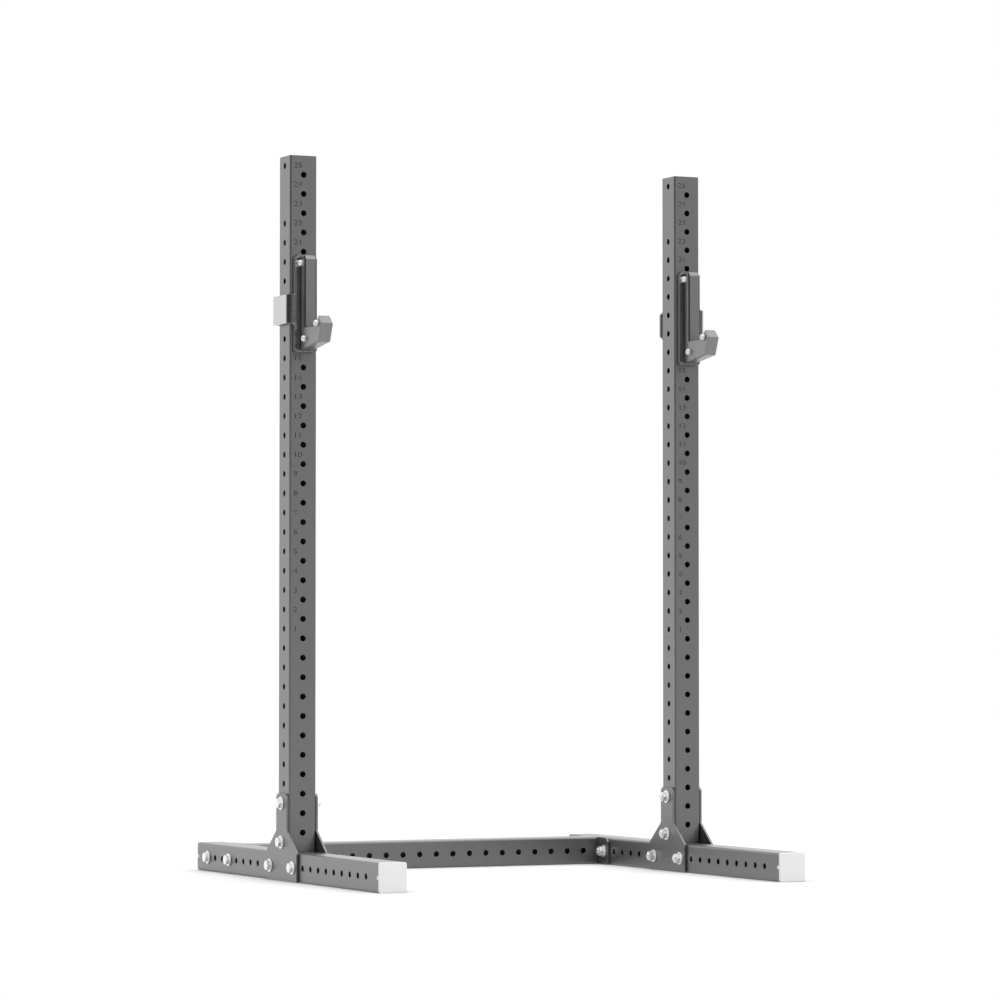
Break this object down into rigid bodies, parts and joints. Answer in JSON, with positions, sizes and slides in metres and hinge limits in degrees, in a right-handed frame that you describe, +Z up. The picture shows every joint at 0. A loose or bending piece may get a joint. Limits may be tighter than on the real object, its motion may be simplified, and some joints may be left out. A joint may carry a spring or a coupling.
{
  "type": "squat stand",
  "caption": "free-standing squat stand: two perforated square uprights on long feet, bolted gussets, a rear crossmember and a hooked bar cup on each upright",
  "frame": {"origin": "on the floor, at the middle of the bounding box, midway between the uprights", "axes": "+X to the right, +Y towards the crossmember at the back, +Z up; the bar cups face -Y"},
  "size_m": [1.259, 1.2298, 1.9053],
  "materials": {
    "paint": "satin powder coat, near black",
    "zinc": "bright zinc plate",
    "polished_steel": "polished",
    "cup_plastic": "satin, moulded",
    "liner_plastic": "matt, moulded",
    "plug_plastic": "matt, moulded",
    "cap_plastic": "satin, moulded"
  },
  "bodies": {
    "frame": {"crossmember": "paint", "upright_left": "paint", "upright_plug_left": "plug_plastic", "foot_left": "paint", "foot_cap_front_left": "cap_plastic", "foot_cap_rear_left": "cap_plastic", "gusset_outer_left": "paint", "gusset_inner_left": "paint", "flange_left": "paint", "bolt_gusset_1_left": "zinc", "nut_gusset_1_left": "zinc", "bolt_gusset_2_left": "zinc", "nut_gusset_2_left": "zinc", "bolt_gusset_3_left": "zinc", "nut_gusset_3_left": "zinc", "bolt_gusset_4_left": "zinc", "nut_gusset_4_left": "zinc", "bolt_flange_1_left": "zinc", "nut_flange_1_left": "zinc", "bolt_flange_2_left": "zinc", "nut_flange_2_left": "zinc", "upright_right": "paint", "upright_plug_right": "plug_plastic", "foot_right": "paint", "foot_cap_front_right": "cap_plastic", "foot_cap_rear_right": "cap_plastic", "gusset_outer_right": "paint", "gusset_inner_right": "paint", "flange_right": "paint", "bolt_gusset_1_right": "zinc", "nut_gusset_1_right": "zinc", "bolt_gusset_2_right": "zinc", "nut_gusset_2_right": "zinc", "bolt_gusset_3_right": "zinc", "nut_gusset_3_right": "zinc", "bolt_gusset_4_right": "zinc", "nut_gusset_4_right": "zinc", "bolt_flange_1_right": "zinc", "nut_flange_1_right": "zinc", "bolt_flange_2_right": "zinc", "nut_flange_2_right": "zinc"},
    "cup_left": {"cup_liner_left": "liner_plastic", "cup_bracket_left": "polished_steel", "cup_tongue_left": "paint", "cup_body_left": "cup_plastic", "cup_bolt_1_left": "zinc", "cup_bolt_2_left": "zinc", "cup_bolt_3_left": "zinc"},
    "cup_right": {"cup_liner_right": "liner_plastic", "cup_bracket_right": "polished_steel", "cup_tongue_right": "paint", "cup_body_right": "cup_plastic", "cup_bolt_1_right": "zinc", "cup_bolt_2_right": "zinc", "cup_bolt_3_right": "zinc"}
  },
  "joints": [
    {"name": "cup_left_slide", "type": "slide", "parent": "frame", "child": "cup_left", "axis": [-1, 0, 0], "range_m": [0, 0.08]},
    {"name": "cup_right_slide", "type": "slide", "parent": "frame", "child": "cup_right", "axis": [1, 0, 0], "range_m": [0, 0.08]}
  ]
}
